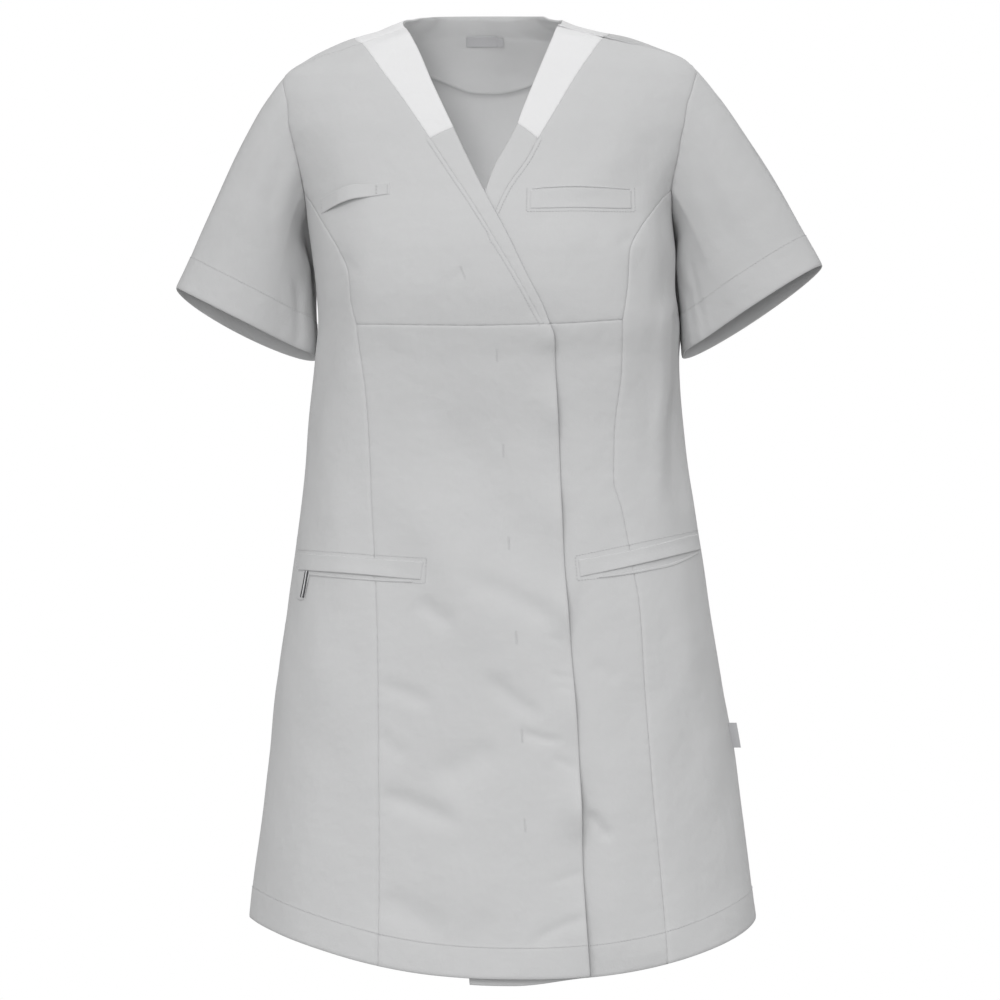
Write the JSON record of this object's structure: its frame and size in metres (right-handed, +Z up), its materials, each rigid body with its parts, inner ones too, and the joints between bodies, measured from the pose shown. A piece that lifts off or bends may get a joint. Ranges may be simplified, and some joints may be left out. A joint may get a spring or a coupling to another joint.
{
  "type": "women's short-sleeved wrap-front tunic, filled out as worn",
  "caption": "Hollow short-sleeved A-line tunic with a wrap-over front, V neck with light panels, welt pockets and a curved hem.",
  "frame": {"origin": "midway between the high points of the two shoulders, where the wearer holds the tunic up", "axes": "+Z up, -Y the front, +X the wearer's left"},
  "size_m": [0.6451, 0.3193, 0.9668],
  "materials": {
    "grey_cloth": "matt, fine twill, pale grey",
    "white_cloth": "matt, fine twill, white",
    "grey_label": "woven ribbon, plain, mid grey",
    "dark_tape": "woven tape, grey with a dark and a white edge"
  },
  "bodies": {
    "root": {"back": "grey_cloth", "back_neck_facing": "grey_cloth", "bodice_left": "grey_cloth", "bodice_right": "grey_cloth", "chest_tab_right": "grey_cloth", "chest_welt_left": "grey_cloth", "hip_welt_left": "grey_cloth", "hip_welt_right": "grey_cloth", "key_loop_right": "dark_tape", "neck_band_back": "white_cloth", "neck_band_left": "grey_cloth", "neck_band_right": "grey_cloth", "neck_label": "grey_label", "neck_panel_left": "white_cloth", "neck_panel_right": "white_cloth", "side_left": "grey_cloth", "side_right": "grey_cloth", "side_tab_left": "grey_label", "size_tag": "grey_label", "skirt_left": "grey_cloth", "skirt_right": "grey_cloth", "sleeve_left": "grey_cloth", "sleeve_right": "grey_cloth"}
  },
  "joints": []
}
